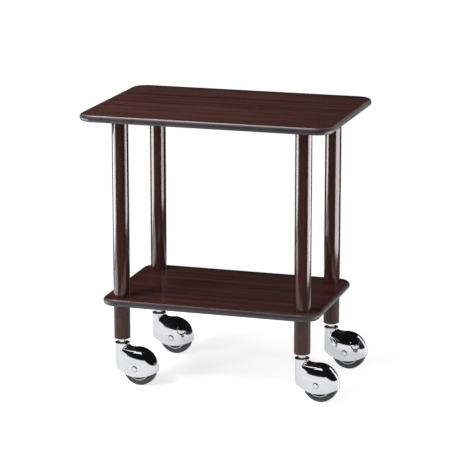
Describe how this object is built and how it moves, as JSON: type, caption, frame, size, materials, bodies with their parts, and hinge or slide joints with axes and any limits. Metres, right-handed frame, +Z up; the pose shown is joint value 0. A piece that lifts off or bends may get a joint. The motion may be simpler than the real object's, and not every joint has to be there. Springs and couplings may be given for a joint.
{
  "type": "gueridon trolley",
  "caption": "Two-shelf serving trolley: rounded dark laminate boards with bumper edges on round posts, rolling on chrome hooded swivel casters, rear ones with push brakes.",
  "frame": {"origin": "on the floor, at the middle of the footprint with the casters parked as in the picture", "axes": "+X along the boards to the right, +Y to the rear, +Z up"},
  "size_m": [0.7164, 0.5, 0.76],
  "materials": {
    "board_laminate": "satin dark laminate with fine grain",
    "post_wood": "dark stained, gloss varnish",
    "bumper_rubber": "satin dark grey",
    "chrome": "polished",
    "steel": "zinc plated",
    "bronze": "sintered",
    "wheel_plastic": "moulded",
    "tyre_rubber": "matt dark grey",
    "pad_rubber": "matt"
  },
  "bodies": {
    "frame": {"top_board": "board_laminate", "top_bumper": "bumper_rubber", "lower_board": "board_laminate", "lower_bumper": "bumper_rubber", "top_board_inserts": "steel", "top_studs": "steel", "post_top_inserts": "steel", "post_bottom_inserts": "steel", "shelf_studs": "steel", "leg_top_inserts": "steel", "caster_sockets": "steel", "thrust_washers": "steel", "stem_clips": "steel", "post_front_left": "post_wood", "leg_front_left": "post_wood", "stem_front_left": "chrome", "post_front_right": "post_wood", "leg_front_right": "post_wood", "stem_front_right": "chrome", "post_rear_left": "post_wood", "leg_rear_left": "post_wood", "stem_rear_left": "chrome", "post_rear_right": "post_wood", "leg_rear_right": "post_wood", "stem_rear_right": "chrome"},
    "caster_front_left": {"hood_front_left": "chrome", "swivel_bush_front_left": "bronze", "axle_front_left": "chrome"},
    "wheel_front_left": {"wheel_centre_front_left": "wheel_plastic", "tyre_front_left": "tyre_rubber"},
    "caster_front_right": {"hood_front_right": "chrome", "swivel_bush_front_right": "bronze", "axle_front_right": "chrome"},
    "wheel_front_right": {"wheel_centre_front_right": "wheel_plastic", "tyre_front_right": "tyre_rubber"},
    "caster_rear_left": {"hood_rear_left": "chrome", "swivel_bush_rear_left": "bronze", "axle_rear_left": "chrome"},
    "wheel_rear_left": {"wheel_centre_rear_left": "wheel_plastic", "tyre_rear_left": "tyre_rubber"},
    "caster_rear_right": {"hood_rear_right": "chrome", "swivel_bush_rear_right": "bronze", "axle_rear_right": "chrome"},
    "wheel_rear_right": {"wheel_centre_rear_right": "wheel_plastic", "tyre_rear_right": "tyre_rubber"},
    "brake_rear_left": {"brake_knob_rear_left": "chrome", "brake_pad_rear_left": "pad_rubber"},
    "brake_rear_right": {"brake_knob_rear_right": "chrome", "brake_pad_rear_right": "pad_rubber"}
  },
  "joints": [
    {"name": "swivel_front_left", "type": "hinge", "parent": "frame", "child": "caster_front_left", "pos_m": [-0.2642, -0.157, 0.1], "axis": [0, 0, 1], "continuous": true},
    {"name": "wheel_spin_front_left", "type": "hinge", "parent": "caster_front_left", "child": "wheel_front_left", "pos_m": [-0.21021, -0.16749, 0.051], "axis": [0.1908, 0.9816, 0], "continuous": true},
    {"name": "swivel_front_right", "type": "hinge", "parent": "frame", "child": "caster_front_right", "pos_m": [0.2478, -0.157, 0.1], "axis": [0, 0, 1], "continuous": true},
    {"name": "wheel_spin_front_right", "type": "hinge", "parent": "caster_front_right", "child": "wheel_front_right", "pos_m": [0.30179, -0.16749, 0.051], "axis": [0.1908, 0.9816, 0], "continuous": true},
    {"name": "swivel_rear_left", "type": "hinge", "parent": "frame", "child": "caster_rear_left", "pos_m": [-0.2642, 0.157, 0.1], "axis": [0, 0, 1], "continuous": true},
    {"name": "wheel_spin_rear_left", "type": "hinge", "parent": "caster_rear_left", "child": "wheel_rear_left", "pos_m": [-0.21021, 0.14651, 0.051], "axis": [0.1908, 0.9816, 0], "continuous": true},
    {"name": "swivel_rear_right", "type": "hinge", "parent": "frame", "child": "caster_rear_right", "pos_m": [0.2478, 0.157, 0.1], "axis": [0, 0, 1], "continuous": true},
    {"name": "wheel_spin_rear_right", "type": "hinge", "parent": "caster_rear_right", "child": "wheel_rear_right", "pos_m": [0.30179, 0.14651, 0.051], "axis": [0.1908, 0.9816, 0], "continuous": true},
    {"name": "brake_push_rear_left", "type": "slide", "parent": "caster_rear_left", "child": "brake_rear_left", "axis": [-0.0609, 0.9779, -0.2002], "range_m": [0, 0.0025]},
    {"name": "brake_push_rear_right", "type": "slide", "parent": "caster_rear_right", "child": "brake_rear_right", "axis": [-0.0609, 0.9779, -0.2002], "range_m": [0, 0.0025]}
  ]
}
